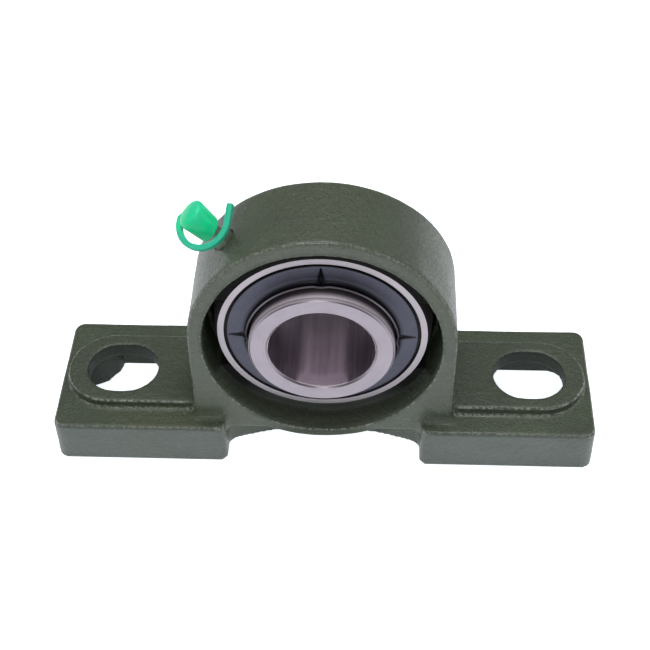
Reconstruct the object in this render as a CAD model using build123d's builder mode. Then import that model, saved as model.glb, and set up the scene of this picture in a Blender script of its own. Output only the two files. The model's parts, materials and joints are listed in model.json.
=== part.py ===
from build123d import *
import os
from math import cos, pi, radians, sin, sqrt, tan

# Pillow block with an insert ball bearing for a 25 mm shaft.
# Millimetres.  The shaft runs along Y, the base stands on Z = 0, and the origin is the middle of the
# bolt pattern on the base plane.

os.makedirs("parts", exist_ok=True)

# ---- driving dimensions -------------------------------------------------------------------------
# housing
base_length = 133.0
base_width = 35.6
shaft_height = 36.5
foot_height = 12.1
foot_inner_end = 23.75
base_corner = 3.0
foot_end_corner = 2.2
casting_draft = 1.0
casting_edge = 1.0
pad_height = 2.5
pad_side_gap = 6.6
pad_end_gap = 1.8
pad_root_fillet = 0.6
ring_radius = 31.5
ring_set_in = 5.5
ring_back_edge = 2.0
face_draft = 2.85
web_height = 8.0
cove_radius = 6.6
waist_set_in = 11.2
waist_end_set_in = 6.6
wall_root_fillet = 1.7
slot_from_end = 15.7
slot_length = 17.5
slot_width = 15.1
slot_lip = 0.5
cavity_wall = 3.8
cavity_end_wall = 3.4
cavity_height = 10.2
cavity_corner = 6.6
cavity_draft = 3.0
mouth_wall = 3.4
mouth_flare = 1.4
notch_height = 21.7
notch_step = 0.3
grease_groove_width = 7.0
grease_groove_offset = 2.0
grease_groove_depth = 0.8
grease_passage_radius = 1.25

# insert bearing
shaft_diameter = 25.0
bearing_diameter = 52.0
outer_ring_width = 17.0
inner_ring_short_side = 13.7
inner_ring_long_side = 19.8
inner_ring_diameter = 34.0
ring_chamfer = 0.35
bore_chamfer = 0.5
ball_diameter = 7.938
ball_count = 9
raceway_conformity = 1.04
outer_shoulder_radius = 22.0
seal_groove_radius = 23.1
lubrication_hole_radius = 0.8
lubrication_hole_offset = 4.6
seal_groove_depth = 2.2

# seals and slingers
seal_thickness = 0.9
seal_lip_height = 0.6
slinger_thickness = 0.6
slinger_rim_gap = 0.7
slinger_collar = 1.5
slinger_proud = 0.1
slinger_bend = 0.9
stake_count = 4
stake_rim_gap = 1.1
stake_depth = 0.35
stake_radius = 0.75

# cage
cage_thickness = 0.7
cage_band = 2.7
rivet_radius = 0.45
rivet_head_radius = 0.8
rivet_head_height = 0.4

# set screws
screw_radius = 3.0
screw_length = 5.4
screw_inset = 5.0
screw_angles = (90.0, 210.0)
screw_stand_off = 0.3
screw_chamfer = 0.4
socket_width = 3.0
socket_depth = 2.6

# grease nipple, its check ball and spring
nipple_angle = 135.0
nipple_thread_radius = 2.2
nipple_thread_length = 4.0
nipple_hex = 4.9
nipple_hex_height = 2.2
nipple_neck_radius = 1.8
nipple_head_radius = 2.45
nipple_height = 8.8
nipple_seat_depth = 0.5
nipple_bore_radius = 1.2
nipple_mouth_depth = 0.6
nipple_head_height = 3.2
nipple_mouth_radius = 0.7
check_ball_radius = 1.0
spring_wire = 0.3
spring_turns = 7

# nipple cap, with its strap standing off to one side
cap_foot_gap = 2.9
cap_wall = 0.55
cap_flare = 0.5
cap_head_room = 0.7
cap_crown = 1.3
cap_edge = 0.6
strap_drop = 3.5
strap_side = 0.9
strap_forward = 0.5
strap_side_slope = 0.40
strap_front_slope = 0.52
strap_radius = 6.2
strap_thickness = 1.2
strap_width = 1.1
strap_start = 152.0
strap_turn = 191.0
strap_tail = 3.9
strap_root = 2.6
strap_root_turn = 35.0

# fits
seat_clearance = 0.06
ball_clearance = 0.05
cage_clearance = 0.15
seal_clearance = 0.12
screw_clearance = 0.05
thread_clearance = 0.03
cap_clearance = 0.12

# ---- shared frames ------------------------------------------------------------------------------
shaft_axis = Axis((0, 0, shaft_height), (0, 1, 0))
profile_plane = Plane(origin=(0, 0, shaft_height), x_dir=(0, 1, 0), z_dir=(1, 0, 0))
face_slope = tan(radians(face_draft))
ring_top = shaft_height + ring_radius
ring_half_width = base_width / 2 - ring_set_in
face_at_top = ring_half_width - ring_radius * face_slope
face_at_base = ring_half_width + shaft_height * face_slope
pad_top = foot_height + pad_height
pad_half_width = base_width / 2 - pad_side_gap
waist_half_width = base_width / 2 - waist_set_in
waist_end_half_width = base_width / 2 - waist_end_set_in
bolt_spacing = base_length - 2 * slot_from_end
mouth_radius = ring_radius - mouth_wall
mouth_root_radius = mouth_radius - mouth_flare
notch_radius = mouth_radius - notch_step
seat_radius = bearing_diameter / 2 + seat_clearance
seat_half_width = outer_ring_width / 2 - seat_clearance
ball_radius = ball_diameter / 2
inner_ring_radius = inner_ring_diameter / 2
pitch_radius = (inner_ring_radius + outer_shoulder_radius) / 2
cage_inner_radius = pitch_radius - cage_band / 2
cage_outer_radius = pitch_radius + cage_band / 2
seal_lip_radius = inner_ring_radius + seal_lip_height
slinger_radius = seal_groove_radius - slinger_rim_gap
groove_radius = ball_radius * raceway_conformity
nipple_direction = Vector(cos(radians(nipple_angle)), 0, sin(radians(nipple_angle)))
nipple_seat = ring_radius - nipple_seat_depth


def finish(builder, name):
    """Label a sub-part and write its file."""
    builder.part.label = name
    export_step(builder.part, f"parts/{name}.step")


# ---- housing ------------------------------------------------------------------------------------
# The arch is the ring and its vertical sides.  Its two faces lean in towards the top.
with BuildPart() as arch:
    with BuildSketch(Plane.XZ) as arch_profile:
        with Locations((0, shaft_height)):
            Circle(ring_radius)
        with Locations((0, (web_height + shaft_height) / 2)):
            Rectangle(2 * ring_radius, shaft_height - web_height)
        cove_corners = arch_profile.vertices().filter_by(
            lambda v: v.Y < shaft_height / 2 and abs(v.X) < ring_radius - casting_edge
        )
        fillet(cove_corners, cove_radius)
    extrude(amount=base_width / 2, both=True)
    with BuildSketch(Plane.YZ) as taper_profile:
        with BuildLine():
            Polyline(
                (-face_at_base, 0),
                (face_at_base, 0),
                (face_at_top, ring_top),
                (-face_at_top, ring_top),
                close=True,
            )
        make_face()
    extrude(amount=base_length / 2, both=True, mode=Mode.INTERSECT)
    front_face, back_face = arch.faces().filter_by(
        lambda f: abs(f.normal_at(f.center()).Y) > cos(radians(45))
    ).sort_by(Axis.Y)
    fillet(front_face.edges(), casting_edge)
    back_face = arch.faces().filter_by(
        lambda f: f.normal_at(f.center()).Y > cos(radians(45))
    ).sort_by(Axis.Y)[-1]
    fillet(back_face.edges(), ring_back_edge)

# Raised pads round the bolt slots, on a thin sole that sinks into the feet.
with BuildPart() as pads:
    pad_end = base_length / 2 - pad_end_gap - pad_half_width
    pad_start = ring_radius - pad_height
    pad_border = pad_root_fillet + 0.05
    with BuildSketch(Plane.XY.offset(foot_height)):
        SlotCenterToCenter(2 * pad_end, 2 * (pad_half_width + pad_border))
        Rectangle(2 * pad_start, base_width, mode=Mode.SUBTRACT)
    extrude(amount=-pad_height / 2)
    with BuildSketch(Plane.XY.offset(foot_height)):
        SlotCenterToCenter(2 * pad_end, 2 * pad_half_width)
        Rectangle(2 * pad_start, base_width, mode=Mode.SUBTRACT)
    extrude(amount=pad_height)
    pad_edges = pads.edges().filter_by(
        lambda e: e.center().Z > foot_height - 0.01
        and e.length > 2 * pad_height
        and abs(e.position_at(0.5).X) > pad_start + 0.01
        and abs(e.center().Y) < pad_half_width + 0.01
        and abs(e.position_at(0.5).X) < pad_end + pad_half_width + 0.01
    )
    fillet(pad_edges, pad_root_fillet)

with BuildPart() as housing:
    # feet, with the waist between them
    with BuildSketch() as base_plan:
        RectangleRounded(base_length, base_width, base_corner)
        for side in (1, -1):
            with BuildLine():
                ThreePointArc(
                    (-foot_inner_end, side * waist_end_half_width),
                    (0, side * waist_half_width),
                    (foot_inner_end, side * waist_end_half_width),
                )
                Polyline(
                    (foot_inner_end, side * waist_end_half_width),
                    (foot_inner_end, side * base_width),
                    (-foot_inner_end, side * base_width),
                    (-foot_inner_end, side * waist_end_half_width),
                )
            make_face(mode=Mode.SUBTRACT)
        foot_corners = base_plan.vertices().filter_by(lambda v: abs(abs(v.X) - foot_inner_end) < 0.01)
        fillet(foot_corners, foot_end_corner)
    extrude(amount=foot_height, taper=casting_draft)
    foot_top = housing.faces().sort_by(Axis.Z)[-1]
    fillet(foot_top.outer_wire().edges(), casting_edge)

    # the arch stands on the feet with rounded roots
    add(arch.part)
    wall_roots = housing.edges().filter_by(GeomType.LINE).filter_by_position(
        Axis.Z, foot_height - 0.01, foot_height + 0.01
    ).filter_by(lambda e: e.length > cove_radius / 2 and abs(e.center().Y) > pad_half_width + casting_edge
        and abs(e.center().X) < ring_radius and abs(e.center().Y) < face_at_base)
    fillet(wall_roots, wall_root_fillet)

    add(pads.part)

    # hollow underside
    cavity_length = base_length / 2 - foot_inner_end - 2 * cavity_end_wall
    cavity_middle = (base_length / 2 + foot_inner_end) / 2
    with BuildSketch():
        with Locations((cavity_middle, 0), (-cavity_middle, 0)):
            RectangleRounded(cavity_length, base_width - 2 * cavity_wall, cavity_corner)
    extrude(amount=cavity_height, taper=cavity_draft, mode=Mode.SUBTRACT)

    # bolt slots
    with BuildSketch(Plane.XY.offset(pad_top)):
        with Locations((bolt_spacing / 2, 0), (-bolt_spacing / 2, 0)):
            SlotOverall(slot_length, slot_width)
    extrude(amount=-pad_top, mode=Mode.SUBTRACT)
    slot_edges = housing.edges().filter_by_position(Axis.Z, pad_top - 0.01, pad_top + 0.01).filter_by(
        lambda e: abs(abs(e.center().X) - bolt_spacing / 2) < slot_length / 2
        and abs(e.center().Y) < slot_width / 2 + 0.01
    )
    fillet(slot_edges, slot_lip)

    # bore: two flared mouths and the spherical seat, cut from one profile
    mouth_end = base_width / 2
    mouth_slope = (mouth_radius - mouth_root_radius) / (ring_half_width - seat_half_width)
    mouth_end_radius = mouth_root_radius + mouth_slope * (mouth_end - seat_half_width)
    seat_edge_radius = sqrt(seat_radius**2 - seat_half_width**2)
    with BuildSketch(profile_plane):
        with BuildLine():
            Polyline(
                (-seat_half_width, seat_edge_radius),
                (-seat_half_width, mouth_root_radius),
                (-mouth_end, mouth_end_radius),
                (-mouth_end, 0),
                (mouth_end, 0),
                (mouth_end, mouth_end_radius),
                (seat_half_width, mouth_root_radius),
                (seat_half_width, seat_edge_radius),
            )
            ThreePointArc(
                (seat_half_width, seat_edge_radius), (0, seat_radius), (-seat_half_width, seat_edge_radius)
            )
        make_face()
    revolve(axis=shaft_axis, mode=Mode.SUBTRACT)

    # loading notches, where the insert goes in turned on its side
    with BuildSketch(Plane.XZ.offset(mouth_end)):
        with Locations((0, shaft_height)):
            Circle(notch_radius)
            Rectangle(2 * notch_radius, notch_height, mode=Mode.INTERSECT)
    extrude(amount=-mouth_end, mode=Mode.SUBTRACT)

    # grease way: groove round the seat, passage, tapped hole and flat for the nipple
    with BuildSketch(profile_plane):
        with Locations((grease_groove_offset, seat_radius)):
            Rectangle(grease_groove_width, 2 * grease_groove_depth)
    revolve(axis=shaft_axis, mode=Mode.SUBTRACT)
    nipple_plane = Plane(origin=(0, 0, shaft_height), z_dir=nipple_direction)
    with BuildSketch(nipple_plane.offset(nipple_seat)):
        Circle(nipple_hex / 2 / cos(radians(30)) + cap_clearance)
    extrude(amount=2 * nipple_seat_depth, mode=Mode.SUBTRACT)
    with BuildSketch(nipple_plane.offset(nipple_seat)):
        Circle(nipple_thread_radius + thread_clearance)
    extrude(amount=-nipple_thread_length - thread_clearance, mode=Mode.SUBTRACT)
    with BuildSketch(nipple_plane.offset(nipple_seat)):
        Circle(grease_passage_radius)
    extrude(amount=-(nipple_seat - seat_radius + grease_groove_depth), mode=Mode.SUBTRACT)
finish(housing, "housing")

# ---- bearing rings ------------------------------------------------------------------------------
with BuildPart() as outer_ring:
    with BuildSketch(profile_plane) as outer_profile:
        Circle(bearing_diameter / 2)
        with Locations((0, (outer_shoulder_radius + bearing_diameter) / 2)):
            Rectangle(outer_ring_width, bearing_diameter - outer_shoulder_radius, mode=Mode.INTERSECT)
        rim_corners = outer_profile.vertices().filter_by(lambda v: v.Z > shaft_height + seal_groove_radius)
        chamfer(rim_corners, ring_chamfer)
        with Locations((0, pitch_radius + ball_radius + ball_clearance - groove_radius)):
            Circle(groove_radius, mode=Mode.SUBTRACT)
        with Locations((outer_ring_width / 2, 0), (-outer_ring_width / 2, 0)):
            Rectangle(2 * seal_groove_depth, 2 * seal_groove_radius, mode=Mode.SUBTRACT)
    revolve(axis=shaft_axis)
    with BuildSketch(nipple_plane.offset(seal_groove_radius - lubrication_hole_radius)):
        with Locations(nipple_plane.to_local_coords(Vector(0, lubrication_hole_offset, shaft_height))):
            Circle(lubrication_hole_radius)
    extrude(amount=bearing_diameter / 2, mode=Mode.SUBTRACT)
finish(outer_ring, "outer_ring")

screw_place = inner_ring_long_side - screw_inset
with BuildPart() as inner_ring:
    with BuildSketch(profile_plane) as inner_profile:
        with Locations(
            ((inner_ring_long_side - inner_ring_short_side) / 2, (inner_ring_radius + shaft_diameter / 2) / 2)
        ):
            Rectangle(inner_ring_long_side + inner_ring_short_side, inner_ring_radius - shaft_diameter / 2)
        bore_corners = inner_profile.vertices().group_by(Axis.Z)[0]
        rim_corners = inner_profile.vertices().group_by(Axis.Z)[-1]
        chamfer(bore_corners, bore_chamfer)
        chamfer(rim_corners, ring_chamfer)
        with Locations((0, pitch_radius - ball_radius - ball_clearance + groove_radius)):
            Circle(groove_radius, mode=Mode.SUBTRACT)
    revolve(axis=shaft_axis)
    for angle in screw_angles:
        screw_plane = Plane(
            origin=(0, screw_place, shaft_height), z_dir=(cos(radians(angle)), 0, sin(radians(angle)))
        )
        with BuildSketch(screw_plane):
            Circle(screw_radius)
        extrude(amount=inner_ring_diameter, mode=Mode.SUBTRACT)
finish(inner_ring, "inner_ring")

# ---- set screws ---------------------------------------------------------------------------------
for number, angle in enumerate(screw_angles, start=1):
    screw_base = Plane(
        origin=(0, screw_place, shaft_height), z_dir=(cos(radians(angle)), 0, sin(radians(angle)))
    ).offset(shaft_diameter / 2 + screw_stand_off)
    with BuildPart() as set_screw:
        with BuildSketch(screw_base):
            Circle(screw_radius - screw_clearance)
        extrude(amount=screw_length)
        chamfer(set_screw.edges().filter_by(GeomType.CIRCLE), screw_chamfer)
        with BuildSketch(screw_base.offset(screw_length)):
            RegularPolygon(socket_width / 2, 6, major_radius=False)
        extrude(amount=-socket_depth, mode=Mode.SUBTRACT)
    finish(set_screw, f"set_screw_{number}")

# ---- balls and cage -----------------------------------------------------------------------------
ball_angles = [radians(90 + 360 * index / ball_count) for index in range(ball_count)]
ball_places = [
    (pitch_radius * cos(angle), 0, shaft_height + pitch_radius * sin(angle)) for angle in ball_angles
]
for number, place in enumerate(ball_places, start=1):
    with BuildPart() as ball:
        with Locations(place):
            Sphere(ball_radius)
    finish(ball, f"ball_{number}")

rivet_angles = [angle + pi / ball_count for angle in ball_angles]
rivet_places = [
    (pitch_radius * cos(angle), shaft_height + pitch_radius * sin(angle)) for angle in rivet_angles
]
pocket_radius = ball_radius + cage_clearance
pocket_centres = [Location(place, (90, 0, 0)) for place in ball_places]
with BuildPart() as cage_front:
    with BuildSketch(Plane.XZ.offset(-cage_thickness)):
        with Locations((0, shaft_height)):
            Circle(cage_outer_radius + cage_thickness)
            Circle(cage_inner_radius - cage_thickness, mode=Mode.SUBTRACT)
    extrude(amount=2 * cage_thickness)
    with Locations(*pocket_centres):
        Sphere(pocket_radius + cage_thickness)
    with Locations(*pocket_centres):
        Sphere(pocket_radius, mode=Mode.SUBTRACT)
    with BuildSketch(Plane.XZ):
        with Locations((0, shaft_height)):
            Circle(cage_outer_radius)
            Circle(cage_inner_radius, mode=Mode.SUBTRACT)
    extrude(amount=pocket_radius + 2 * cage_thickness, mode=Mode.INTERSECT)
    with BuildSketch(Plane.XZ):
        with Locations(*rivet_places):
            Circle(rivet_radius)
    extrude(amount=cage_thickness, mode=Mode.SUBTRACT)
finish(cage_front, "cage_front")

with BuildPart() as cage_back:
    mirror(cage_front.part, about=Plane.XZ)
finish(cage_back, "cage_back")

with BuildPart() as cage_rivets:
    with BuildSketch(Plane.XZ):
        with Locations(*rivet_places):
            Circle(rivet_radius)
    extrude(amount=cage_thickness, both=True)
    for side in (1, -1):
        with BuildSketch(Plane.XZ.offset(side * cage_thickness)):
            with Locations(*rivet_places):
                Circle(rivet_head_radius)
        extrude(amount=side * rivet_head_height)
finish(cage_rivets, "cage_rivets")

# ---- seals and slingers -------------------------------------------------------------------------
# Both are drawn for the front and mirrored for the back.
seal_face = outer_ring_width / 2 - seal_groove_depth + seal_clearance / 2
with BuildPart() as seal_front:
    with BuildSketch(profile_plane):
        with BuildLine():
            Polyline(
                (-seal_face, seal_groove_radius - seal_clearance / 2),
                (-seal_face - seal_thickness, seal_groove_radius - seal_clearance / 2),
                (-seal_face - seal_thickness, seal_lip_radius + seal_thickness),
                (-seal_face - seal_thickness, inner_ring_radius + seal_clearance),
                (-seal_face - seal_thickness / 2, inner_ring_radius + seal_clearance),
                (-seal_face, seal_lip_radius + seal_thickness),
                close=True,
            )
        make_face()
    revolve(axis=shaft_axis)
finish(seal_front, "seal_front")

with BuildPart() as seal_back:
    mirror(seal_front.part, about=Plane.XZ)
finish(seal_back, "seal_back")

slinger_face = outer_ring_width / 2 + slinger_proud
collar_radius = inner_ring_radius + thread_clearance
stake_start = collar_radius + slinger_thickness / 2
with BuildPart() as slinger_front:
    with BuildSketch(profile_plane) as slinger_profile:
        with BuildLine():
            Polyline(
                (-slinger_face - slinger_collar, collar_radius),
                (-slinger_face - slinger_collar, collar_radius + slinger_thickness),
                (-slinger_face, collar_radius + slinger_thickness),
                (-slinger_face, slinger_radius),
                (-slinger_face + slinger_thickness, slinger_radius),
                (-slinger_face + slinger_thickness, collar_radius),
                close=True,
            )
        make_face()
        inside_bend = slinger_profile.vertices().sort_by_distance(
            (0, -slinger_face, shaft_height + collar_radius + slinger_thickness)
        )[0]
        fillet(inside_bend, slinger_bend)
        outside_bend = slinger_profile.vertices().sort_by_distance(
            (0, -slinger_face + slinger_thickness, shaft_height + collar_radius)
        )[0]
        fillet(outside_bend, slinger_bend + slinger_thickness / 2)
    revolve(axis=shaft_axis)
    # stakes: short radial dents that lock the slinger on the ring
    for index in range(stake_count):
        angle = 2 * pi * index / stake_count
        stake_plane = Plane(
            origin=(0, -slinger_face - stake_radius + stake_depth, shaft_height),
            z_dir=(cos(angle), 0, sin(angle)),
        )
        with BuildSketch(stake_plane.offset(stake_start)):
            Circle(stake_radius)
        extrude(amount=slinger_radius - stake_rim_gap - stake_start, mode=Mode.SUBTRACT)
finish(slinger_front, "slinger_front")

with BuildPart() as slinger_back:
    mirror(slinger_front.part, about=Plane.XZ)
finish(slinger_back, "slinger_back")

# ---- grease nipple ------------------------------------------------------------------------------
nipple_profile_plane = Plane(
    origin=(0, 0, shaft_height), x_dir=(0, 1, 0), z_dir=(nipple_direction.Z, 0, -nipple_direction.X)
)
nipple_axis = Axis((0, 0, shaft_height), nipple_direction)
nipple_foot = nipple_seat - nipple_thread_length
nipple_top = nipple_seat + nipple_height
nipple_head = nipple_top - nipple_head_height
nipple_cone = nipple_top - nipple_mouth_depth - (nipple_bore_radius - nipple_mouth_radius)
with BuildPart() as grease_nipple:
    with BuildSketch(nipple_plane.offset(nipple_seat)):
        RegularPolygon(nipple_hex / 2, 6, major_radius=False)
    extrude(amount=nipple_hex_height)
    with BuildSketch(nipple_profile_plane):
        with BuildLine():
            Polyline(
                (0, nipple_foot),
                (nipple_thread_radius, nipple_foot),
                (nipple_thread_radius, nipple_seat + nipple_hex_height),
                (nipple_neck_radius, nipple_seat + nipple_hex_height),
                (nipple_neck_radius, nipple_head),
                (nipple_head_radius, nipple_head + nipple_head_radius - nipple_neck_radius),
                (nipple_head_radius, nipple_top - nipple_head_radius / 2),
                (nipple_head_radius / 2, nipple_top),
                (0, nipple_top),
                close=True,
            )
        make_face()
    revolve(axis=nipple_axis)
    with BuildSketch(nipple_profile_plane):
        with BuildLine():
            Polyline(
                (0, nipple_foot),
                (nipple_mouth_radius, nipple_foot),
                (nipple_mouth_radius, nipple_foot + nipple_mouth_depth),
                (nipple_bore_radius, nipple_foot + nipple_mouth_depth),
                (nipple_bore_radius, nipple_cone),
                (nipple_mouth_radius, nipple_top - nipple_mouth_depth),
                (nipple_mouth_radius, nipple_top),
                (0, nipple_top),
                close=True,
            )
        make_face()
    revolve(axis=nipple_axis, mode=Mode.SUBTRACT)
finish(grease_nipple, "grease_nipple")

check_ball_place = nipple_cone + nipple_bore_radius - (check_ball_radius + thread_clearance) * sqrt(2)
with BuildPart() as nipple_ball:
    with BuildSketch(nipple_profile_plane):
        with Locations((0, check_ball_place)):
            Circle(check_ball_radius)
        with Locations((-check_ball_radius, check_ball_place)):
            Rectangle(2 * check_ball_radius, 2 * check_ball_radius, mode=Mode.SUBTRACT)
    revolve(axis=nipple_axis)
finish(nipple_ball, "nipple_ball")

spring_radius = nipple_bore_radius - spring_wire / 2 - screw_clearance
spring_foot = nipple_foot + nipple_mouth_depth + spring_wire / 2 + thread_clearance
ball_contact = check_ball_radius + spring_wire / 2 + thread_clearance
spring_top = check_ball_place - sqrt(ball_contact**2 - spring_radius**2)
with BuildPart() as nipple_spring:
    spring_line = Helix(
        pitch=(spring_top - spring_foot) / spring_turns,
        height=spring_top - spring_foot,
        radius=spring_radius,
        center=nipple_axis.position + nipple_direction * spring_foot,
        direction=nipple_direction,
    )
    with BuildSketch(Plane(origin=spring_line @ 0, z_dir=spring_line % 0)):
        Circle(spring_wire / 2)
    sweep(path=spring_line, is_frenet=True)
finish(nipple_spring, "nipple_spring")

# ---- nipple cap ---------------------------------------------------------------------------------
cap_foot = nipple_seat + nipple_hex_height + cap_foot_gap
cap_hollow_top = nipple_top + cap_head_room
cap_top = cap_hollow_top + cap_crown
cap_hollow_radius = nipple_head_radius + cap_clearance
cap_small_radius = cap_hollow_radius + cap_wall
nipple_side = Vector(sin(radians(nipple_angle)), 0, -cos(radians(nipple_angle)))
with BuildPart() as nipple_cap:
    with BuildSketch(nipple_profile_plane):
        with BuildLine():
            Polyline(
                (0, cap_foot),
                (cap_small_radius, cap_foot),
                (cap_small_radius + cap_flare, cap_top),
                (0, cap_top),
                close=True,
            )
        make_face()
    revolve(axis=nipple_axis)
    fillet(nipple_cap.edges().filter_by(GeomType.CIRCLE).sort_by(nipple_axis)[-1], cap_edge)
    # strap, an open ring from the rim of the cap to a straight tail
    strap_plane = Plane(
        origin=nipple_axis.position
        + nipple_direction * (cap_top - strap_drop)
        + nipple_side * strap_side
        - Vector(0, strap_forward, 0),
        x_dir=(1, 0, strap_side_slope),
        z_dir=(-strap_side_slope, -strap_front_slope, 1),
    )
    with BuildSketch(strap_plane):
        with BuildLine():
            with BuildLine(mode=Mode.PRIVATE) as strap_line:
                strap_ring = CenterArc((0, 0), strap_radius, strap_start, strap_turn)
                Line(strap_ring @ 1, strap_ring @ 1 + (strap_ring % 1) * strap_tail)
                root_run = (strap_ring % 0).rotate(Axis.Z, -strap_root_turn)
                Line(strap_ring @ 0 - root_run * strap_root, strap_ring @ 0)
            offset(strap_line.wires()[0], strap_thickness / 2, side=Side.BOTH)
        make_face()
    extrude(amount=strap_width / 2, both=True)
    with BuildSketch(nipple_plane.offset(cap_foot)):
        Circle(cap_hollow_radius)
    extrude(amount=cap_hollow_top - cap_foot, mode=Mode.SUBTRACT)
finish(nipple_cap, "nipple_cap")
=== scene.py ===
import bpy
import json
import math
from mathutils import Matrix, Vector


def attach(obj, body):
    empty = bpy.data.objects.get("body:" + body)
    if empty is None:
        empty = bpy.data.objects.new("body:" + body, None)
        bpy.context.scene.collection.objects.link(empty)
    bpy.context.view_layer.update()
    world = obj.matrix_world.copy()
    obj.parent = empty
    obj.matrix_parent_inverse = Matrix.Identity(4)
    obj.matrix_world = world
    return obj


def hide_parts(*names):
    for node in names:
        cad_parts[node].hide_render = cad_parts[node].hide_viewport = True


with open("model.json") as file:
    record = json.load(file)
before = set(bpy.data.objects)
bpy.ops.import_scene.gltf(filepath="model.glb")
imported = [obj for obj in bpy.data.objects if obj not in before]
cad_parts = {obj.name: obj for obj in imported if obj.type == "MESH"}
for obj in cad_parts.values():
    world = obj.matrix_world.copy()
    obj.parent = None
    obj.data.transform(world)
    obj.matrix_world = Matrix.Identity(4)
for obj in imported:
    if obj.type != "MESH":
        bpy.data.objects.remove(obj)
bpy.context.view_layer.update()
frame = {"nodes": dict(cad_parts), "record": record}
nodes = frame["nodes"]
scene = bpy.context.scene
mounts = {mount["name"]: mount for mount in frame["record"]["mounts"]}
shaftHeight = mounts["shaft_bore"]["pos_m"][2] * 1000  # millimetres, like every size below
slotMiddle = mounts["bolt_slots"]["dims"]["spacing_x_mm"] / 2


def mm(*values):  # millimetres to metres
    return values[0] / 1000 if len(values) == 1 else tuple(value / 1000 for value in values)


def paint(red, green, blue):  # screen colour, 0 to 255, to a linear colour
    parts = [channel / 255 for channel in (red, green, blue)]
    linear = [part / 12.92 if part <= 0.04045 else ((part + 0.055) / 1.055) ** 2.4 for part in parts]
    return (*linear, 1)


# camera
view = {
    "target": (0.233, 0, 31.094),
    "distance": 307.853,
    "azimuth": 3.01,
    "elevation": 46.63,
    "roll": 1.18,
    "focalPixels": 1277.42,
    "framePixels": 650,
    "sensorWidth": 36,
    "clip": (10, 20000),  # nearest and farthest
}


def placeCamera():
    azimuth, elevation, roll = (math.radians(view[key]) for key in ("azimuth", "elevation", "roll"))
    level = math.cos(elevation)
    back = Vector((math.sin(azimuth) * level, -math.cos(azimuth) * level, math.sin(elevation)))
    right = (-back).cross(Vector((0, 0, 1))).normalized()
    up = right.cross(-back)
    tiltedRight = right * math.cos(roll) - up * math.sin(roll)
    tiltedUp = right * math.sin(roll) + up * math.cos(roll)
    place = Vector(mm(*view["target"])) + back * mm(view["distance"])
    bpy.ops.object.camera_add()
    camera = bpy.context.object
    camera.name = "viewpoint"
    turn = Matrix((tiltedRight, tiltedUp, back)).transposed().to_4x4()
    camera.matrix_world = Matrix.Translation(place) @ turn
    camera.data.sensor_width = view["sensorWidth"]
    camera.data.lens = view["focalPixels"] * view["sensorWidth"] / view["framePixels"]
    camera.data.clip_start, camera.data.clip_end = mm(*view["clip"])
    scene.camera = camera


placeCamera()
print("camera placed")


# shader helpers
class Wire:
    def __init__(self, graph, socket):
        self.graph = graph
        self.socket = socket

    def maths(self, operation, *values):
        return self.graph.node("Math", {"operation": operation}, dict(enumerate(values)))

    def __add__(self, other):
        return self.maths("ADD", self, other)

    def __sub__(self, other):
        return self.maths("SUBTRACT", self, other)

    def __rsub__(self, other):
        return self.maths("SUBTRACT", other, self)

    def __mul__(self, other):
        return self.maths("MULTIPLY", self, other)

    def __truediv__(self, other):
        return self.maths("DIVIDE", self, other)

    __radd__ = __add__
    __rmul__ = __mul__

    def power(self, other):
        return self.maths("POWER", self, other)

    def size(self):  # without its sign
        return self.maths("ABSOLUTE", self)

    def most(self, other):
        return self.maths("MAXIMUM", self, other)

    def least(self, other):
        return self.maths("MINIMUM", self, other)

    def below(self, limit):
        return self.maths("LESS_THAN", self, limit)

    def within(self, reach):  # 1 below a limit in millimetres
        return self.below(mm(reach))

    def beyond(self, reach):  # 1 above it
        return self.maths("GREATER_THAN", self, mm(reach))

    def between(self, span):
        return self.beyond(span[0]) * self.within(span[1])

    def clamped(self):
        return self.most(0.0).least(1.0)

    def ramp(self, low, high):  # 0 at low, 1 at high
        return ((self - low) / (high - low)).clamped()

    def rise(self, span):  # the same over a span in millimetres
        return self.ramp(*mm(*span))

    def fall(self, span):
        return 1.0 - self.rise(span)


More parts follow.
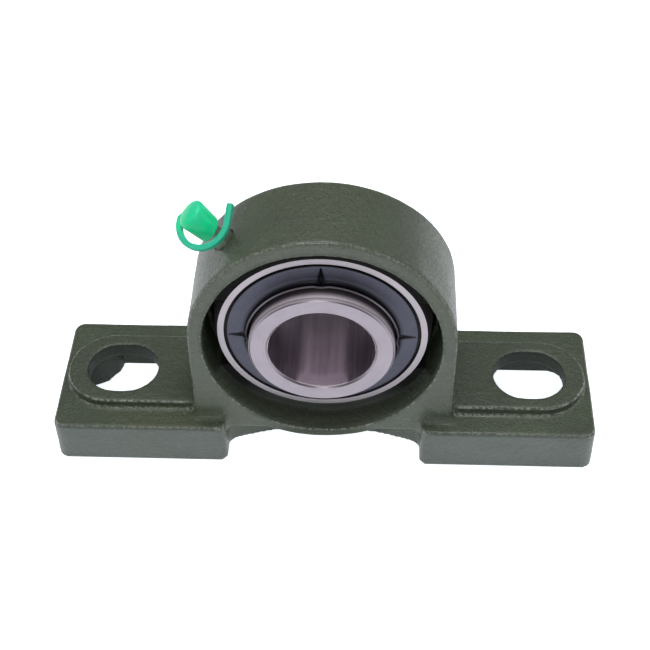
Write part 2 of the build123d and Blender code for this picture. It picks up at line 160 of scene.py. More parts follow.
class Graph:
    def __init__(self, owner):  # a material or a world
        owner.use_nodes = True
        self.owner = owner
        self.tree = owner.node_tree
        self.tree.nodes.clear()

    def made(self, kind, settings=None, inputs=None):
        node = self.tree.nodes.new("ShaderNode" + kind)
        for key, value in (settings or {}).items():
            setattr(node, key, value)
        for key, value in (inputs or {}).items():
            if isinstance(value, Wire):
                self.tree.links.new(value.socket, node.inputs[key])
            else:
                node.inputs[key].default_value = value
        return node

    def node(self, kind, settings=None, inputs=None, output=0):
        return Wire(self, self.made(kind, settings, inputs).outputs[output])

    def place(self):
        return self.node("TexCoord", output="Object")

    def split(self, place):
        return [Wire(self, socket) for socket in self.made("SeparateXYZ", inputs={0: place}).outputs]

    def fromShaft(self, x, z):  # the height above the shaft's middle line, and the distance from it
        height = z - mm(shaftHeight)
        return height, (x * x + height * height).power(0.5)

    def noise(self, place, scale, detail, roughness=0.55):
        inputs = {"Vector": place, "Scale": scale, "Detail": detail, "Roughness": roughness}
        return self.node("TexNoise", inputs=inputs)

    def flatNoise(self, first, second, scale, detail):  # over two values instead of a place
        pair = self.node("CombineXYZ", inputs={"X": first, "Y": second})
        inputs = {"Vector": pair, "Scale": scale, "Detail": detail}
        return self.node("TexNoise", {"noise_dimensions": "2D"}, inputs)

    def mixed(self, amount, first, second):
        return self.node("Mix", {"data_type": "RGBA"}, {0: amount, 6: first, 7: second}, output=2)

    def bumped(self, height, distance, strength, under=None):
        inputs = {"Height": height, "Distance": distance, "Strength": strength}
        if under is not None:
            inputs["Normal"] = under
        return self.node("Bump", inputs=inputs)

    def shaded(self, **sockets):
        inputs = {key.replace("_", " "): value for key, value in sockets.items()}
        return self.node("BsdfPrincipled", inputs=inputs)

    def shown(self, shader, output="OutputMaterial"):
        self.made(output, inputs={"Surface": shader})
        return self.owner

    def surface(self, **sockets):
        return self.shown(self.shaded(**sockets))

    def ray(self, kind):
        return self.node("LightPath", output=f"Is {kind} Ray")


def newFinish(name):
    return Graph(bpy.data.materials.new(name))


def allWithin(wires, limits):  # 1 where every value is below its own limit in millimetres
    return math.prod(wire.within(limit) for wire, limit in zip(wires, limits))


# finishes
def makeCastPaint():
    look = {
        "paint": paint(48, 64, 36),
        "thin": paint(40, 54, 28),
        "greyer": paint(84, 92, 72),
        "olive": paint(62, 74, 30),
        # pale flecks, and painted sheen on the sides of the ring
        "fleckAndSheen": paint(124, 126, 118),
        # painted highlight lines on the edges, partly wear
        "lightened": paint(172, 174, 166),
        # dark green for the specks, and for painted shade in the mouth and on the pad tops
        "mouth": paint(38, 48, 29),
        # painted shade for the hollows, the slot walls and round the seat
        "recessShade": paint(48, 55, 50),
        "shadow": paint(10, 11, 9),
        # painted sheen for the front and back faces
        "coolSheen": paint(50, 66, 64),
        "mottleScale": 110,
        "patchScale": 30,
        "grainScale": 1400,
        "pitScale": 620,
        "breakScale": 1300,
        "speckScale": 1500,
        "pitDepth": 0.5,
        "grainDepth": 0.3,
        "coarser": 2.4,  # more grain on the flanks of the ring
    }
    zone = {  # where each part lies: across, along, up, or out from the shaft's middle line
        "slotRim": (10.6, 8.6),
        "slotWall": (8.9, 7.8, 14.2),
        "hollowAcross": (26.9, 63.5),
        "hollow": (14.3, 10.6),
        "padTop": (14.35, 15.2),
        "padAcross": 31,
        "seatEdge": (26.8, 9.6),
        "rim": (26.5, 27.7),
        "rimAlong": 12.2,
        "mouth": (27.0, 29.0),
        "mouthAlong": 12.4,
        "lower": (17, 24),
        "flankOut": 30.6,
        "flankUp": 17,
        "flankAlong": 11.2,
        "flankAcross": (17, 30),
        "ringTop": (52, 64),
        "bellyUp": (7.5, 9.5),
        "bellyAcross": (10, 17),
        "faceAlong": 17.2,
    }
    graph = newFinish("castPaint")
    place = graph.place()
    mottle = graph.noise(place, look["mottleScale"], 4)
    patches = graph.noise(place, look["patchScale"], 3)
    grain = graph.noise(place, look["grainScale"], 4, 0.65)
    pits = graph.noise(place, look["pitScale"], 3, 0.55)
    breaks = graph.noise(place, look["breakScale"], 3, 0.6)
    specks = graph.noise(place, look["speckScale"], 2, 0.7)
    edges = graph.node("Attribute", {"attribute_name": "edges"}, output="Fac")
    x, y, z = graph.split(place)
    height, out = graph.fromShaft(x, z)
    across = x.size()
    along = y.size()
    fromSlot = (across - mm(slotMiddle)).size()

    slotRim = allWithin((fromSlot, along), zone["slotRim"])
    slotWall = allWithin((fromSlot, along, z), zone["slotWall"])
    hollow = across.between(zone["hollowAcross"]) * allWithin((along, z), zone["hollow"])
    padTop = z.between(zone["padTop"]) * across.beyond(zone["padAcross"])
    seatEdge = allWithin((out, along), zone["seatEdge"])
    rim = out.fall(zone["rim"]) * along.within(zone["rimAlong"])
    mouth = out.fall(zone["mouth"]) * along.within(zone["mouthAlong"])
    lower = (0.0 - height).rise(zone["lower"])  # light reaches the lower side of the mouth
    flank = out.beyond(zone["flankOut"]) * z.beyond(zone["flankUp"]) * along.within(zone["flankAlong"])
    flank = flank * across.rise(zone["flankAcross"])  # the sides of the ring get more sand in the bump, and painted speckled sheen in the colour
    belly = z.fall(zone["bellyUp"]) * across.fall(zone["bellyAcross"])  # under the ring, between the feet
    hidden = hollow.most(slotWall).most(seatEdge)
    paler = edges.ramp(0.4, 0.56) + (0.0 - edges).ramp(0.38, 0.52) * 0.8  # outside and inside edges, painted pale: highlight lines, and on outside edges also wear
    paler = paler * breaks.ramp(0.42, 0.58) * (1.0 - slotRim * 0.7)

    layers = [  # how much of each colour lies over those before it
        (patches.ramp(0.5, 0.75) * 0.3, "greyer"),
        (patches.ramp(0.5, 0.3) * 0.6, "olive"),
        # the top of the ring is made greyer
        (z.rise(zone["ringTop"]) * 0.3, "greyer"),
        (grain.ramp(0.58, 0.72) * pits.ramp(0.45, 0.6) * 0.7, "fleckAndSheen"),
        (specks.ramp(0.52, 0.64) * 0.7, "mouth"),
        # painted highlight lines along the edges, with some wear on the outside edges
        (paler.clamped() * 0.6, "lightened"),
        # painted shade in the mouth round the seat
        (mouth, "mouth"),
        # painted shade, a greyer dark, in the hollows, on the slot walls and round the seat
        ((hidden * (0.3 + mottle * 0.9)).clamped(), "recessShade"),
        # painted speckled sheen on the sides of the ring
        (flank * specks.ramp(0.5, 0.4) * 0.5, "fleckAndSheen"),
        # painted shade: the tops of the pads are darker
        (padTop * 0.35, "mouth"),
        (seatEdge.most(rim) * (0.9 - lower * 0.6), "shadow"),
        # painted sheen: the front and back faces of the feet are a bluer grey
        (along.beyond(zone["faceAlong"]) * 0.5, "coolSheen"),
    ]
    colour = graph.mixed(mottle.ramp(0.35, 0.7), look["paint"], look["thin"])
    for amount, tint in layers:
        colour = graph.mixed(amount, colour, look[tint])

    normal = graph.bumped(pits, mm(look["pitDepth"]), 0.5)
    normal = graph.bumped(grain * (flank * look["coarser"] + 1.0), mm(look["grainDepth"]), 1.0, normal)
    painted = graph.shaded(
        Base_Color=colour,
        Roughness=0.4 + mottle * 0.18 + hidden * 0.2 + specks * 0.1,
        Specular_IOR_Level=0.9,
        Coat_Weight=0.2,
        Coat_Roughness=0.18,
        Normal=normal,
    )
    dull = graph.shaded(Base_Color=colour, Roughness=0.9, Specular_IOR_Level=0.2, Normal=normal)
    sheltered = (hidden * 0.5).most(rim * (1.0 - lower * 0.6)).most(mouth * 0.5).most(belly * 0.55)
    return graph.shown(graph.node("MixShader", inputs={0: sheltered, 1: painted, 2: dull}))


def makeGroundSteel(name, face, outside=None, bore=None, rough=0.3):
    look = {
        # painted shade on the outside of the inner ring
        "paintedShade": (0.08, 0.07, 0.08, 1),
        "stain": (0.02, 0.015, 0.02, 1),
        "ringScale": 6000,
        "broadRings": 0.22,
        "stainScale": 170,
        "streakAround": 9,
        "streakAlong": 45,
        "boreEdge": 12.6,  # the steel inside this radius is the bore
        "outside": (16.75, 17.4),  # and between these the outside of the inner ring
        "stripPairs": 3,  # three pairs of brighter strips, a painted reflection, one pair lying at the bottom of the bore
        "stripTurn": 0.31,
        "stripHalf": 0.24,
        "boreFade": (-13, 9),
        "boreMouth": (-12.6, -8),
        "shadeFrom": (-12.1, -11),
        "shadeTo": (-9, -8),
        "lip": -12.75,
        "dullBand": (-12.3, -11.2),
        "ringDepth": 0.014,
        "broadDepth": 0.05,
    }
    graph = newFinish(name)
    place = graph.place()
    x, y, z = graph.split(place)
    height, radius = graph.fromShaft(x, z)
    turned = (radius * look["ringScale"], y * look["ringScale"])
    rings = graph.flatNoise(*turned, 1.0, 4)
    broad = graph.flatNoise(*turned, look["broadRings"], 2)
    stain = graph.noise(place, look["stainScale"], 3)
    inside = radius.within(look["boreEdge"])
    beyondFace = radius.beyond(look["outside"][0])
    outerSide = beyondFace * radius.within(look["outside"][1])
    turnedSide = outerSide + inside

    colour = face
    if bore is not None:
        angle = height.maths("ARCTAN2", height, x)
        streak = graph.flatNoise(angle * look["streakAround"], y * look["streakAlong"], 1.0, 5)
        turn = angle.maths("PINGPONG", angle + math.pi / 2, math.pi / look["stripPairs"])
        pair = (1.0 - (turn - look["stripTurn"]).size() / look["stripHalf"]).clamped()
        lobes = pair.most(turn.below(look["stripTurn"]) * 0.72)
        strip = lobes.ramp(0.1, 0.9) * 0.95 + streak.ramp(0.3, 0.7) * 0.25
        # painted shade: the strips fade further into the bore
        strip = strip * (1.0 - y.rise(look["boreFade"]) * 0.75)
        # painted highlight along the front edge of the bore
        mouth = y.fall(look["boreMouth"])
        strip = strip + mouth * mouth * lobes.ramp(0.0, 0.5) * 0.9
        colour = graph.mixed(inside, colour, graph.mixed(strip.clamped(), *bore))
    # painted highlight: the outside of the inner ring takes its own pale tint
    if outside is not None:
        # painted shade: a dark band beside the slinger's lip and a thin dark line at the front edge
        paintedShade = y.rise(look["shadeFrom"]) * y.fall(look["shadeTo"])
        band = graph.mixed(paintedShade * 0.9 + y.within(look["lip"]) * 0.6, outside, look["paintedShade"])
        colour = graph.mixed(beyondFace, colour, band)
    dark = graph.mixed(0.35, colour, look["stain"])
    colour = graph.mixed(rings.ramp(0.4, 0.75) * 0.3 + stain.ramp(0.4, 0.7) * 0.3, colour, dark)

    normal = graph.bumped(rings * (turnedSide * 8.0 + 1.0), mm(look["ringDepth"]), 0.8)
    normal = graph.bumped(broad * (outerSide * 4.0 + 1.0), mm(look["broadDepth"]), 0.6, normal)
    return graph.surface(
        Base_Color=colour,
        Metallic=1.0 - outerSide * y.fall(look["dullBand"]) * 0.4,  # the band beside the lip is less metallic, so its pale tint reads as a painted highlight
        Roughness=rough + rings * 0.14 + turnedSide * 0.04 + outerSide * 0.1,
        Normal=normal,
    )


def makeSlingerCoat():
    look = {
        "slate": paint(70, 70, 82),
        "paler": paint(84, 85, 97),
        # painted shade for the bend and the stake creases
        "creaseShade": paint(16, 16, 20),
        # bare metal on the lip, with a painted highlight
        "bareAndHighlight": paint(116, 108, 116),
        "ringScale": 3500,
        "cloudScale": 240,
        "speckScale": 1500,
        "bend": (18.0, 19.1),  # the painted shade round the bend lies inside these radii
        "creaseFrom": 17.6,
        "creaseTip": 21.9,
        "creaseTaper": 0.2,
        "creaseRagged": 0.12,
        "lip": 10.06,
        "lipTop": (3, 13),
        "ringDepth": 0.015,
        "speckDepth": 0.03,
    }
    graph = newFinish("slingerCoat")
    place = graph.place()
    x, y, z = graph.split(place)
    height, radius = graph.fromShaft(x, z)
    rings = graph.flatNoise(radius * look["ringScale"], y * look["ringScale"], 1.0, 3)
    cloud = graph.noise(place, look["cloudScale"], 4)
    specks = graph.noise(place, look["speckScale"], 2)
    # painted shade round the bend
    paintedShade = radius.fall(look["bend"])
    offStake = x.size().least(height.size())
    # painted shade in the stake creases
    wedge = (mm(look["creaseTip"]) - radius) * look["creaseTaper"] + specks * mm(look["creaseRagged"])
    creaseShade = offStake.below(wedge) * radius.beyond(look["creaseFrom"])
    topOnly = height.rise(look["lipTop"]) * 0.8 + 0.2  # painted highlight: the bare lip is brighter at the top than at the sides
    bareAndHighlight = y.size().beyond(look["lip"]) * topOnly
    lightened = cloud.ramp(0.35, 0.7) * 0.5 + rings.ramp(0.5, 0.8) * 0.2
    colour = graph.mixed(lightened, look["slate"], look["paler"])
    for amount, tint in ((paintedShade * 0.9, "creaseShade"), (creaseShade * 0.92, "creaseShade"), (bareAndHighlight, "bareAndHighlight")):
        colour = graph.mixed(amount, colour, look[tint])
    normal = graph.bumped(rings, mm(look["ringDepth"]), 0.5)
    normal = graph.bumped(specks, mm(look["speckDepth"]), 0.5, normal)
    return graph.surface(
        Base_Color=colour,
        Metallic=0.75,
        Roughness=0.3 + cloud * 0.16 + rings * 0.08,
        Normal=normal,
    )


def makeCapPlastic():
    look = {
        "clear": paint(4, 252, 172),
        "milky": paint(60, 240, 188),
        "strap": paint(66, 208, 178),  # duller than the bell
        "strapFrom": (4.3, 5.2),  # how far from the nipple's middle line
        "cloudScale": 260,
        "rippleScale": 900,
        "rippleDepth": 0.03,
        "glowDepth": 2,
    }
    graph = newFinish("capPlastic")
    place = graph.place()
    x, y, z = graph.split(place)
    cloud = graph.noise(place, look["cloudScale"], 3)
    ripple = graph.noise(place, look["rippleScale"], 2)
    sideways = (x + z - mm(shaftHeight)) * math.sqrt(0.5)  # the nipple leans by 45 degrees
    offAxis = (sideways * sideways + y * y).power(0.5)
    colour = graph.mixed(cloud.ramp(0.3, 0.75), look["clear"], look["milky"])
    colour = graph.mixed(offAxis.rise(look["strapFrom"]) * 0.8, colour, look["strap"])
    return graph.surface(
        Base_Color=colour,
        Roughness=0.28 + cloud * 0.2,
        Transmission_Weight=0.2,
        IOR=1.4,
        Subsurface_Weight=0.3,
        Subsurface_Scale=mm(look["glowDepth"]),
        Normal=graph.bumped(ripple, mm(look["rippleDepth"]), 0.5),
    )


def makePlain(name, tint, rough, metallic=0.0):
    look = {"wobbleScale": 600, "cloudScale": 120, "darker": 0.75, "relief": 0.02}
    graph = newFinish(name)
    place = graph.place()
    wobble = graph.noise(place, look["wobbleScale"], 3)
    cloud = graph.noise(place, look["cloudScale"], 2)
    shade = tuple(part * look["darker"] for part in tint[:3]) + (1,)
    return graph.surface(
        Base_Color=graph.mixed(cloud * 0.4, tint, shade),
        Metallic=metallic,
        Roughness=rough + wobble * 0.15,
        Normal=graph.bumped(wobble, mm(look["relief"]), 0.6),
    )


# modelling helpers
def onlyPiece(piece):
    bpy.ops.object.select_all(action="DESELECT")
    piece.select_set(True)
    bpy.context.view_layer.objects.active = piece


def settlePiece(piece):  # its place, turn and scale go into the mesh
    onlyPiece(piece)
    bpy.ops.object.transform_apply(location=True, rotation=True, scale=True)


def editAll(piece, kind):  # opens edit mode with everything selected
    onlyPiece(piece)
    bpy.ops.object.mode_set(mode="EDIT")
    bpy.ops.mesh.select_mode(type=kind)
    bpy.ops.mesh.select_all(action="SELECT")


def leaveEdit():
    bpy.ops.object.mode_set(mode="OBJECT")


def faceOutwards():  # then leaves edit mode
    bpy.ops.mesh.select_all(action="SELECT")
    bpy.ops.mesh.normals_make_consistent(inside=False)
    leaveEdit()


def pickPoints(piece, test):  # opens edit mode with the points that pass selected
    editAll(piece, "VERT")
    bpy.ops.mesh.select_all(action="DESELECT")
    leaveEdit()
    for point in piece.data.vertices:
        point.select = test(point.co)
    bpy.ops.object.mode_set(mode="EDIT")


def pushPoints(piece, test, shift):
    pickPoints(piece, test)
    bpy.ops.transform.translate(value=shift)
    leaveEdit()


def extrudeEdges(step):
    bpy.ops.mesh.extrude_edges_move(TRANSFORM_OT_translate={"value": step})


def extrudeFace(step):
    bpy.ops.mesh.extrude_region_move(TRANSFORM_OT_translate={"value": step})


def applyModifier(piece, kind, **settings):
    onlyPiece(piece)
    modifier = piece.modifiers.new(kind.lower(), kind)
    for key, value in settings.items():
        setattr(modifier, key, value)
    bpy.ops.object.modifier_apply(modifier=modifier.name)


def copyNode(nodeName, pieceName):
    piece = bpy.data.objects.new(pieceName, nodes[nodeName].data.copy())
    bpy.context.collection.objects.link(piece)
    piece.data.name = pieceName
    editAll(piece, "VERT")
    bpy.ops.mesh.remove_doubles(threshold=mm(0.001))
    leaveEdit()
    return piece


def wear(piece, finish):
    piece.data.materials.clear()
    piece.data.materials.append(finish)


# block casting
casting = {
    "voxel": 0.4,
    "smoothing": 3,
    "triangles": 190000,
    "plainFoot": 0.4,  # no waves or sand below this height, nor in the seat
    "seatRadius": 26.7,
    "seatHalfWidth": 8.6,
    "waves": {"swell": (0.22, 11), "sand": (0.07, 1.5)},  # strength and size
    "waveDetail": 2,
    "waveLevel": 0.8,  # keeps the waves inside the sizes of the CAD
    "edgeRounds": 2,
    "lump": [
        (-53.8, 15.6), (-54.2, 12.6), (-54.9, 10.4), (-56.2, 9.0), (-57.4, 7.2),
        (-59.2, 6.2), (-61.4, 5.3), (-65.0, 5.2), (-65.6, 15.6),
    ],
    "lumpTop": 11.0,
    "lumpFoot": 0.3,
}


def addLump(piece):  # rough metal left in the back corner of the left hollow
    corners = casting["lump"]
    bpy.ops.object.select_all(action="DESELECT")
    bpy.ops.mesh.primitive_circle_add(vertices=len(corners), fill_type="NGON", location=(0, 0, 0))
    lump = bpy.context.object
    lump.name = "hollowLump"
    for point, (across, along) in zip(lump.data.vertices, reversed(corners)):
        point.co = Vector(mm(across, along, casting["lumpFoot"]))
    editAll(lump, "VERT")
    extrudeFace(mm(0, 0, casting["lumpTop"] - casting["lumpFoot"]))
    faceOutwards()
    applyModifier(piece, "BOOLEAN", operation="UNION", object=lump, solver="EXACT")
    bpy.data.objects.remove(lump)


def markEdges(piece):  # stores how sharply the surface turns, per millimetre, with outside edges positive
    mesh = piece.data
    turns = [0.0] * len(mesh.vertices)
    shares = [0] * len(mesh.vertices)
    pairs = [tuple(edge.vertices) for edge in mesh.edges]
    for first, second in pairs:
        step = mesh.vertices[second].co - mesh.vertices[first].co
        bend = mesh.vertices[second].normal - mesh.vertices[first].normal
        turn = mm(bend.dot(step) / step.length_squared)
        for index in (first, second):
            turns[index] += turn
            shares[index] += 1
    turns = [turn / max(share, 1) for turn, share in zip(turns, shares)]
    for blurRound in range(casting["edgeRounds"]):
        summed = list(turns)
        for first, second in pairs:
            summed[first] += turns[second]
            summed[second] += turns[first]
        turns = [total / (share + 1) for total, share in zip(summed, shares)]
    layer = mesh.attributes.new("edges", "FLOAT", "POINT")
    layer.data.foreach_set("value", turns)


def roughen(piece):
    seat, width, foot = mm(casting["seatRadius"], casting["seatHalfWidth"], casting["plainFoot"])
    outer = []
    for point in piece.data.vertices:
        x, y, z = point.co
        inSeat = math.hypot(x, z - mm(shaftHeight)) < seat and abs(y) < width
        if z > foot and not inSeat:
            outer.append(point.index)
    piece.vertex_groups.new(name="rough").add(outer, 1.0, "REPLACE")
    for name, (strength, size) in casting["waves"].items():
        waves = bpy.data.textures.new(name, "CLOUDS")
        waves.noise_scale = mm(size)
        waves.noise_depth = casting["waveDetail"]
        applyModifier(
            piece,
            "DISPLACE",
            texture=waves,
            texture_coords="LOCAL",
            strength=mm(strength),
            mid_level=casting["waveLevel"],
            vertex_group="rough",
        )


def makeCasting():
    piece = copyNode("housing", "blockCasting")
    addLump(piece)
    applyModifier(piece, "REMESH", mode="VOXEL", voxel_size=mm(casting["voxel"]))
    markEdges(piece)
    applyModifier(piece, "SMOOTH", factor=0.5, iterations=casting["smoothing"])
    roughen(piece)
    triangles = sum(len(face.vertices) - 2 for face in piece.data.polygons)
    applyModifier(piece, "DECIMATE", ratio=casting["triangles"] / triangles)
    onlyPiece(piece)
    bpy.ops.object.shade_smooth()
    return piece


blockCasting = makeCasting()
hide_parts("housing")
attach(blockCasting, "housing")
print("casting made")


# slingers
slinger = {
    "segments": 480,
    "sheet": 0.42,
    "rim": [(22.38, 8.42), (22.34, 8.54), (22.2, 8.6)],  # radius, and distance from the bearing's middle
    "flat": [(tenths / 10, 8.6) for tenths in range(219, 194, -4)],
    "bend": [
        (19.15, 8.61), (18.85, 8.64), (18.55, 8.72), (18.28, 8.86), (18.06, 9.06),
        (17.92, 9.3), (17.85, 9.55), (17.84, 9.8), (17.9, 10.0), (17.98, 10.12),
    ],
    "stakeTurns": (0, 90, 180, 270),
    "stakeTip": 21.8,
    "stakeRoot": 17.8,
    "stakeFrom": 17.5,  # a stake presses the sheet from this radius out
    "stakeSide": 9.6,  # and no further from the bearing's middle than this
    "stakeSteps": [(1.0, 0.16), (0.65, 0.18), (0.32, 0.22)],  # half width at the root, and depth
    "lipSide": 9.0,  # the lip starts this far from the bearing's middle
    "lipSteps": [(1.5, 0.12), (1.0, 0.12), (0.5, 0.1)],
    "softAngle": 50,
}


def pressStake(piece, side, turn):
    centre = Vector(mm(0, 0, shaftHeight))
    out = Vector((math.cos(math.radians(turn)), 0, math.sin(math.radians(turn))))

    def fromStake(point):  # along the stake's line and off it
        arm = point - centre
        along = arm.dot(out)
        return along, abs(arm.cross(out).y) if along > 0 else 1.0

    def inWedge(point, halfWidth):
        along, off = fromStake(point)
        taper = (slinger["stakeTip"] - along * 1000) / (slinger["stakeTip"] - slinger["stakeRoot"])
        onSheet = along > mm(slinger["stakeFrom"]) and abs(point.y) < mm(slinger["stakeSide"])
        return onSheet and off < mm(halfWidth) * taper

    def onLip(point, halfWidth):
        return abs(point.y) > mm(slinger["lipSide"]) and fromStake(point)[1] < mm(halfWidth)

    for halfWidth, depth in slinger["stakeSteps"]:
        pushPoints(piece, lambda point: inWedge(point, halfWidth), mm(0, -side * depth, 0))
    for halfWidth, depth in slinger["lipSteps"]:
        pushPoints(piece, lambda point: onLip(point, halfWidth), -out * mm(depth))


def makeSlinger(name, side):  # side is -1 at the front and 1 at the back
    section = slinger["rim"] + slinger["flat"] + slinger["bend"]
    centre = Vector(mm(0, 0, shaftHeight))
    bpy.ops.object.select_all(action="DESELECT")
    bpy.ops.mesh.primitive_circle_add(
        vertices=slinger["segments"],
        radius=mm(section[0][0]),
        location=mm(0, side * section[0][1], shaftHeight),
        rotation=(math.radians(90), 0, 0),
    )
    piece = bpy.context.object
    piece.name = piece.data.name = name
    settlePiece(piece)
    editAll(piece, "EDGE")
    for (fromRadius, fromDepth), (toRadius, toDepth) in zip(section, section[1:]):
        extrudeEdges(mm(0, side * (toDepth - fromDepth), 0))
        grow = toRadius / fromRadius
        bpy.ops.transform.resize(value=(grow, 1, grow), center_override=centre)
    leaveEdit()
    for turn in slinger["stakeTurns"]:
        pressStake(piece, side, turn)
    editAll(piece, "VERT")
    faceOutwards()
    front = max(piece.data.polygons, key=lambda face: face.area)
    if front.normal.y * side < 0:
        piece.data.flip_normals()
    applyModifier(piece, "SOLIDIFY", thickness=mm(slinger["sheet"]), offset=-1)
    onlyPiece(piece)
    bpy.ops.object.shade_smooth_by_angle(angle=math.radians(slinger["softAngle"]))
    return piece


slingerFront = makeSlinger("slingerFrontSheet", -1)
slingerBack = makeSlinger("slingerBackSheet", 1)
for piece, name in ((slingerFront, "slinger_front"), (slingerBack, "slinger_back")):
    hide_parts(name)
    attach(piece, "shaft_ring")
print("slingers made")


# nipple cap
cap = {
    "sides": 48,
    "lean": 45,  # the nipple leans this far from upright
    "tilt": 6.5,  # the cap sits askew on the nipple, towards the back
    "foot": 36.2,
    "bell": [  # radius and distance from the shaft's middle line, hollow first, then the outside
        (0.6, 40.6), (2.2, 40.6), (2.7, 40.3), (2.82, 39.6), (2.82, 37.0), (2.72, 36.3),
        (2.86, 36.12), (3.04, 36.15), (3.12, 36.5), (3.22, 37.6), (3.38, 39.0), (3.52, 40.2),
        (3.58, 41.0), (3.44, 41.55), (3.05, 41.95), (2.4, 42.25), (1.6, 42.42), (0.8, 42.5),
    ],
    "skirtTop": 38.2,
    "skirtSlips": [(1.4, 0.25), (0.2, 0.25), (-1.0, 0.25), (-2.2, 0.25)],  # in front of where, and how far
    "ringRadius": 5.95,
    "ringSteps": 48,
    "ringStart": 152,
    "ringTurn": 191,
    "bandThickness": 1.4,
    "bandWidth": 1.35,
    "tail": 4.5,
    "root": 2.8,
    "rootTurn": 35,
    "ringDistance": 38.2,
    "ringSide": 0.9,
    "ringForward": 0.5,
    "sideSlope": 0.40,
    "frontSlope": 0.52,
    "voxel": 0.16,
    "smoothing": 8,
}


def makeBell():
    bell = cap["bell"]
    askew = math.tan(math.radians(cap["tilt"]))

    def centreAt(distance):
        return Vector(mm(0, (distance - cap["foot"]) * askew, distance))

    bpy.ops.object.select_all(action="DESELECT")
    bpy.ops.mesh.primitive_circle_add(
        vertices=cap["sides"],
        radius=mm(bell[0][0]),
        fill_type="NGON",
        location=centreAt(bell[0][1]),
    )
    piece = bpy.context.object
    settlePiece(piece)
    editAll(piece, "EDGE")
    for (fromRadius, fromDistance), (toRadius, toDistance) in zip(bell, bell[1:]):
        extrudeEdges(centreAt(toDistance) - centreAt(fromDistance))
        grow = toRadius / fromRadius
        bpy.ops.transform.resize(value=(grow, grow, 1), center_override=centreAt(toDistance))
    bpy.ops.mesh.edge_face_add()
    faceOutwards()
    for front, slip in cap["skirtSlips"]:
        def onSkirt(point):
            return point.z < mm(cap["skirtTop"]) and point.y < mm(front)
        pushPoints(piece, onSkirt, mm(0, 0, -slip))
    piece.rotation_euler = (0, -math.radians(cap["lean"]), 0)
    piece.location = mm(0, 0, shaftHeight)
    settlePiece(piece)
    return piece


def makeStrap():  # a band bent round flat, with a straight tail and a root that runs into the bell
    bpy.ops.object.select_all(action="DESELECT")
    bpy.ops.mesh.primitive_plane_add(
        size=1,
        location=mm(cap["ringRadius"], 0, 0),
        rotation=(math.radians(90), 0, 0),
    )
    piece = bpy.context.object
    piece.scale = (mm(cap["bandThickness"]), mm(cap["bandWidth"]), 1)
    settlePiece(piece)
    editAll(piece, "FACE")
    turn = math.radians(cap["ringTurn"])
    bpy.ops.mesh.spin(steps=cap["ringSteps"], angle=-turn, center=(0, 0, 0), axis=(0, 0, 1))
    extrudeFace(mm(-math.sin(turn) * cap["tail"], math.cos(turn) * cap["tail"], 0))
    leaveEdit()
    pickPoints(piece, lambda point: abs(point.y) < mm(0.01) and point.x > 0)  # the end the band started from
    rootTurn = math.radians(cap["rootTurn"])
    bpy.ops.mesh.select_mode(type="FACE")
    extrudeFace(mm(-math.sin(rootTurn) * cap["root"], -math.cos(rootTurn) * cap["root"], 0))
    faceOutwards()

    lean = math.radians(cap["lean"])
    outward = Vector((-math.sin(lean), 0, math.cos(lean)))
    sideways = Vector((math.cos(lean), 0, math.sin(lean)))
    middle = Vector(mm(0, -cap["ringForward"], shaftHeight))
    middle += outward * mm(cap["ringDistance"]) + sideways * mm(cap["ringSide"])
    along = Vector((1, 0, cap["sideSlope"])).normalized()
    facing = Vector((-cap["sideSlope"], -cap["frontSlope"], 1)).normalized()
    sloped = Matrix((along, facing.cross(along), facing)).transposed().to_4x4()
    started = Matrix.Rotation(math.radians(cap["ringStart"]), 4, "Z")
    piece.matrix_world = Matrix.Translation(middle) @ sloped @ started
    settlePiece(piece)
    return piece


def makeCap():
    bell = makeBell()
    bell.name = bell.data.name = "mouldedCap"
    strap = makeStrap()
    onlyPiece(bell)
    strap.select_set(True)
    bpy.ops.object.join()
    applyModifier(bell, "REMESH", mode="VOXEL", voxel_size=mm(cap["voxel"]))
    applyModifier(bell, "SMOOTH", factor=0.5, iterations=cap["smoothing"])
    onlyPiece(bell)
    bpy.ops.object.shade_smooth()
    return bell


mouldedCap = makeCap()
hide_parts("nipple_cap")
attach(mouldedCap, "cap")
print("cap made")


# who wears what
# dark and lit tints of the bore, mixed by the painted reflection strips
boreTints = (paint(122, 109, 121), paint(255, 238, 251))
# the pale outside tint is a painted highlight on the inner ring's outside
innerSteel = makeGroundSteel("innerSteel", paint(150, 142, 150), paint(252, 238, 250), boreTints, 0.32)
ballSteel = makeGroundSteel("ballSteel", paint(200, 196, 200), rough=0.15)
slingerCoat = makeSlingerCoat()
sealRubber = makePlain("sealRubber", paint(26, 26, 28), 0.6)
cageSteel = makePlain("cageSteel", paint(150, 148, 146), 0.4, 1.0)
screwBlack = makePlain("screwBlack", paint(48, 48, 50), 0.4, 0.6)
finishOf = {
    "housing": makeCastPaint(),
    "outer_ring": makeGroundSteel("outerSteel", paint(166, 159, 164), rough=0.4),
    "inner_ring": innerSteel,
    "slinger_front": slingerCoat,
    "slinger_back": slingerCoat,
    "seal_front": sealRubber,
    "seal_back": sealRubber,
    "cage_front": cageSteel,
    "cage_back": cageSteel,
    "cage_rivets": cageSteel,
    "set_screw_1": screwBlack,
    "set_screw_2": screwBlack,
    "grease_nipple": makePlain("nippleMetal", paint(150, 160, 146), 0.48, 1.0),
    "nipple_spring": cageSteel,
    "nipple_ball": ballSteel,
    "nipple_cap": makeCapPlastic(),
}
for name, node in nodes.items():
    wear(node, finishOf.get(name, ballSteel))  # the balls are all that finishOf leaves out
wear(blockCasting, finishOf["housing"])
wear(slingerFront, slingerCoat)
wear(slingerBack, slingerCoat)
wear(mouldedCap, finishOf["nipple_cap"])
print("finishes done")


# floor
ground = {
    "size": 24000,
    "drop": 0.2,  # below the base
    "dark": (0.88, 0.88, 0.88, 1),
    "pale": (0.92, 0.92, 0.92, 1),
    "glow": (0.88, 0.94, 1, 1),
    "clothScale": 40,
}


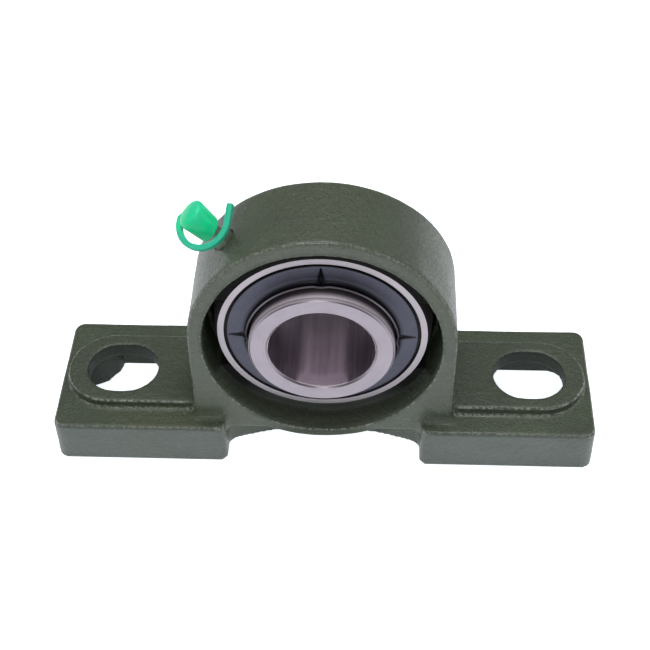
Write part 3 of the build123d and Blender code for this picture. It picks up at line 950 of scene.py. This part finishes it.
def makeFloor():
    bpy.ops.object.select_all(action="DESELECT")
    bpy.ops.mesh.primitive_plane_add(size=mm(ground["size"]), location=mm(0, 0, -ground["drop"]))
    floor = bpy.context.object
    floor.name = "floor"
    graph = newFinish("paleFloor")
    cloth = graph.noise(graph.place(), ground["clothScale"], 3)
    shade = graph.mixed(cloth, ground["dark"], ground["pale"])
    base = graph.shaded(Base_Color=shade, Roughness=0.8)
    glow = graph.node("Emission", inputs={"Color": ground["glow"], "Strength": 1.0})
    both = graph.node("AddShader", inputs={0: base, 1: glow})
    seen = graph.ray("Camera").most(graph.ray("Glossy")).most(graph.ray("Transmission"))
    wear(floor, graph.shown(graph.node("MixShader", inputs={0: seen, 1: base, 2: both})))


makeFloor()


# light
light = {
    "aim": (0, 0, 30),
    "lamps": {  # place, width and depth, and power in watts
        "topSoftbox": ((0, 140, 1000), (900, 600), 3.8),
        "cameraSoftbox": ((-100, -800, 900), (300, 200), 2.6),
        "keyLamp": ((50, 120, 1100), (200, 140), 2.2),
        "leftSoftbox": ((-1000, -100, 450), (400, 600), 1.0),
        "rightSoftbox": ((1000, -100, 450), (400, 600), 1.15),
    },
    "fill": 0.17,
    "sheen": 0.03,  # metal sees a little more of the backdrop than the paint is lit by
}


def makeLight(name, place, size, power):
    bpy.ops.object.light_add(type="AREA", location=mm(*place))
    lamp = bpy.context.object
    lamp.name = name
    lamp.data.shape = "RECTANGLE"
    lamp.data.size, lamp.data.size_y = mm(*size)
    lamp.data.energy = power
    lamp.rotation_mode = "QUATERNION"
    lamp.rotation_quaternion = (Vector(mm(*light["aim"])) - Vector(mm(*place))).to_track_quat("-Z", "Y")


def makeBackdrop():
    graph = Graph(bpy.data.worlds.new("studio"))
    seen = graph.ray("Camera").most(graph.ray("Transmission"))
    level = seen.most(graph.ray("Glossy") * light["sheen"] + light["fill"])
    backdrop = graph.node("Background", inputs={"Color": (1, 1, 1, 1), "Strength": level})
    scene.world = graph.shown(backdrop, "OutputWorld")


for name, settings in light["lamps"].items():
    makeLight(name, *settings)
makeBackdrop()
print("floor and light made")
scene.view_settings.view_transform = "Standard"
